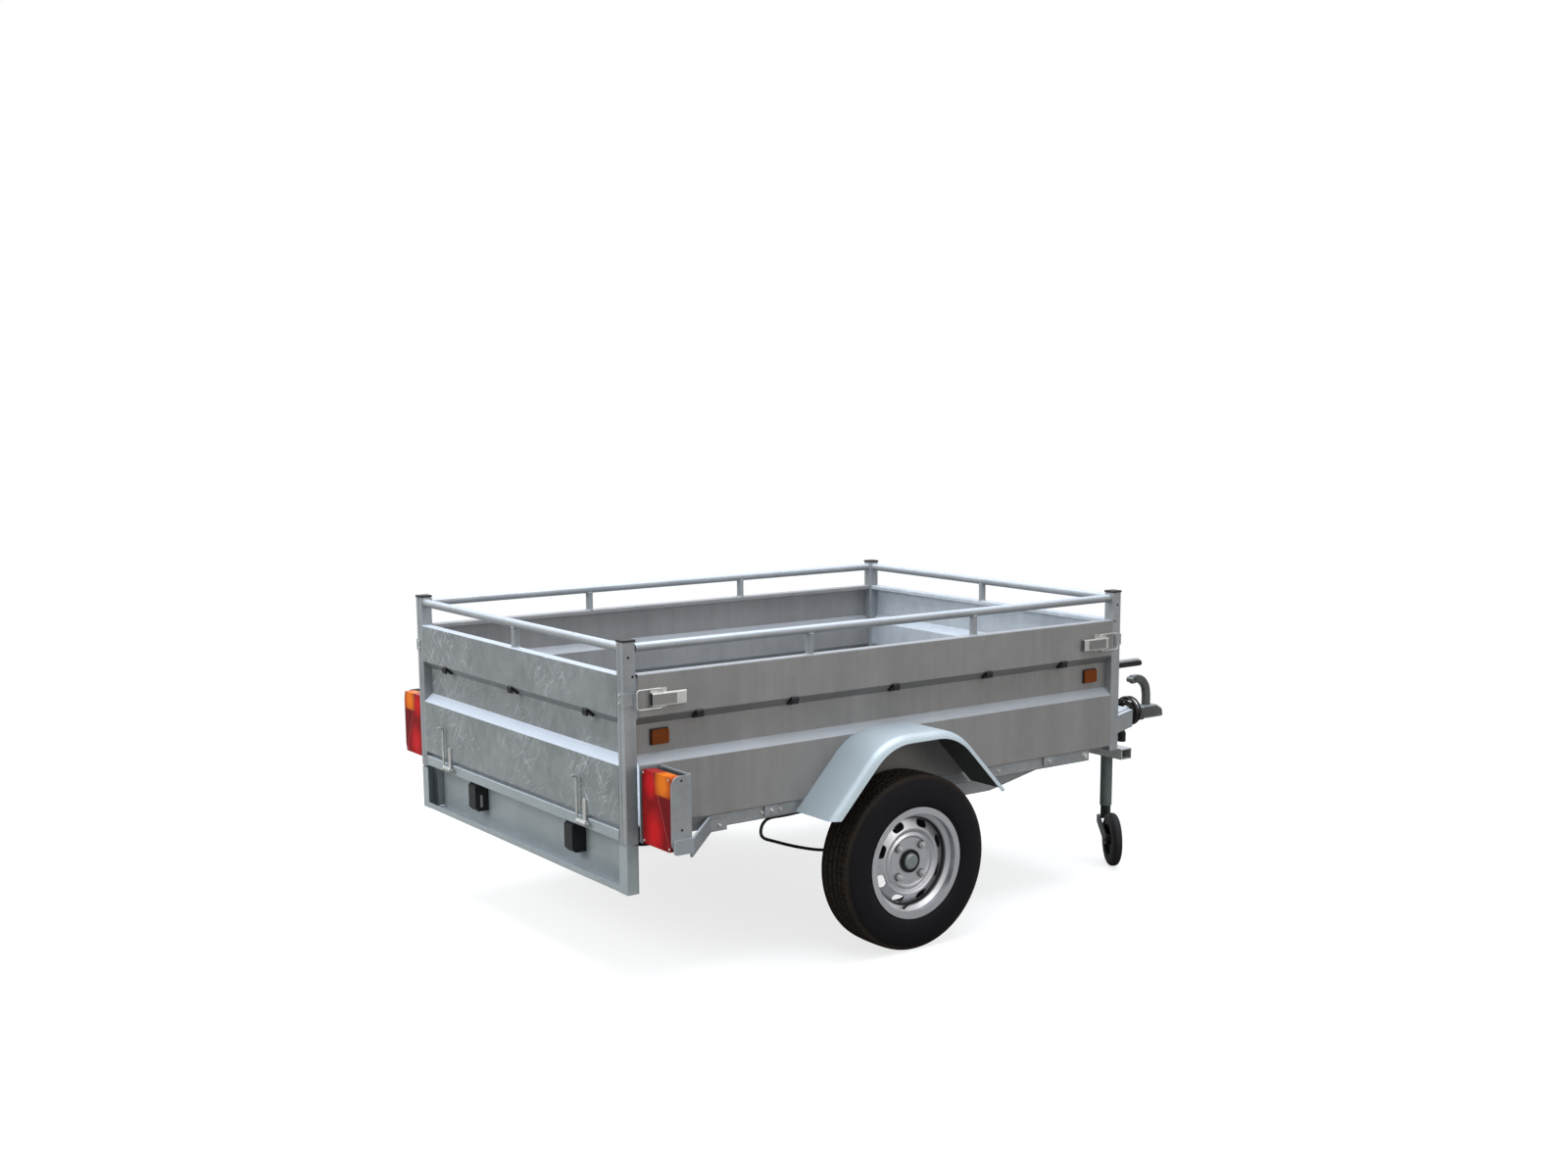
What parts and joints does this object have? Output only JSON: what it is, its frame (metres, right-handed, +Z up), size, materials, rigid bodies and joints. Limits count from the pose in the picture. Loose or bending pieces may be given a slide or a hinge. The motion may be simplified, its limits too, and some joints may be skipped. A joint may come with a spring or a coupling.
{
  "type": "galvanised single-axle box utility trailer",
  "caption": "Small galvanised box trailer with rails above its sides, a fold-down tailgate, two wheels under mudguards, a V drawbar with ball coupling and a jockey wheel.",
  "frame": {"origin": "on the ground under the middle of the trailer's whole length and width", "axes": "+X to the trailer's right-hand side, +Y forward to the coupling, +Z up"},
  "size_m": [1.814, 3.005, 1.049],
  "materials": {
    "galvanised_side": "galvanised steel sheet, satin with faint vertical streaks",
    "galvanised_gate": "galvanised steel sheet, spangled and lightly scratched",
    "galvanised_frame": "hot-dip galvanised steel section, matt grey",
    "galvanised_floor": "galvanised steel floor sheet",
    "mudguard_zinc": "smooth light zinc-plated steel",
    "zinc_hardware": "bright zinc-plated fittings",
    "axle_steel": "galvanised axle steel, darker grey",
    "painted_black": "black painted steel",
    "cable_rubber": "black rubber cable sheath",
    "black_plastic": "matt black plastic",
    "lamp_red": "glossy red lens",
    "marker_amber": "glossy amber reflector",
    "lens_clear": "clear lens",
    "tyre_rubber": "black tyre rubber",
    "rim_silver": "silver painted steel wheel",
    "hub_steel": "grey hub steel",
    "crank_parts": "zinc-plated crank arm over a black plastic grip",
    "jockey_tyre": "solid black rubber tyre"
  },
  "bodies": {
    "root": {"side_panel_right": "galvanised_side", "side_panel_left": "galvanised_side", "front_panel": "galvanised_gate", "front_frame": "galvanised_frame", "front_caps": "black_plastic", "front_catches": "zinc_hardware", "toggle_latches": "zinc_hardware", "top_rail_right": "galvanised_frame", "top_rail_left": "galvanised_frame", "frame_rail_right": "galvanised_frame", "frame_rail_left": "galvanised_frame", "cross_members": "galvanised_frame", "floor_panel": "galvanised_floor", "rear_apron": "galvanised_gate", "plate_lamps": "black_plastic", "hinge_brackets": "zinc_hardware", "tarp_hooks_sides": "black_plastic", "tarp_hooks_front": "black_plastic", "side_markers": "marker_amber", "tail_lamp_right": "lamp_red", "tail_lamp_left": "lamp_red", "lamp_bracket_right": "galvanised_frame", "lamp_bracket_left": "galvanised_frame", "clearance_lenses": "lens_clear", "axle_beam": "axle_steel", "axle_arm_right": "axle_steel", "axle_arm_left": "axle_steel", "mudguard_right": "mudguard_zinc", "mudguard_left": "mudguard_zinc", "drawbar": "galvanised_frame", "coupling_head": "zinc_hardware", "coupling_lever": "zinc_hardware", "jockey_clamp": "zinc_hardware", "cable_ends": "cable_rubber", "cable_coil": "cable_rubber", "cable_plug": "black_plastic", "body_cable": "cable_rubber", "cable_clips": "black_plastic"},
    "tailgate": {"tailgate_panel": "galvanised_gate", "tailgate_frame": "galvanised_frame", "tailgate_caps": "black_plastic", "tailgate_catches": "zinc_hardware", "tarp_hooks_tailgate": "black_plastic", "tailgate_hinges": "zinc_hardware", "hinge_pins": "zinc_hardware"},
    "wheel_right": {"tyre_right": "tyre_rubber", "rim_right": "rim_silver", "hub_right": "hub_steel"},
    "wheel_left": {"tyre_left": "tyre_rubber", "rim_left": "rim_silver", "hub_left": "hub_steel"},
    "jockey_leg": {"jockey_leg": "zinc_hardware", "jockey_crank": "crank_parts"},
    "jockey_fork": {"jockey_fork": "painted_black"},
    "jockey_wheel": {"jockey_tyre": "jockey_tyre", "jockey_hub": "hub_steel"}
  },
  "joints": [
    {"name": "tailgate_hinge", "type": "hinge", "parent": "root", "child": "tailgate", "pos_m": [0, -1.4845, 0.479], "axis": [1, 0, 0], "range_deg": [0, 145]},
    {"name": "wheel_right_spin", "type": "hinge", "parent": "root", "child": "wheel_right", "pos_m": [0.7965, -0.5275, 0.282], "axis": [1, 0, 0], "continuous": true},
    {"name": "wheel_left_spin", "type": "hinge", "parent": "root", "child": "wheel_left", "pos_m": [-0.7965, -0.5275, 0.282], "axis": [1, 0, 0], "continuous": true},
    {"name": "jockey_leg_slide", "type": "slide", "parent": "root", "child": "jockey_leg", "axis": [0, 0, 1], "range_m": [0, 0.17]},
    {"name": "jockey_swivel", "type": "hinge", "parent": "jockey_leg", "child": "jockey_fork", "pos_m": [0.442, 0.7405, 0.18], "axis": [0, 0, 1], "continuous": true},
    {"name": "jockey_wheel_spin", "type": "hinge", "parent": "jockey_fork", "child": "jockey_wheel", "pos_m": [0.53153, 0.68564, 0.098], "axis": [-0.5225, -0.8526, 0], "continuous": true}
  ]
}
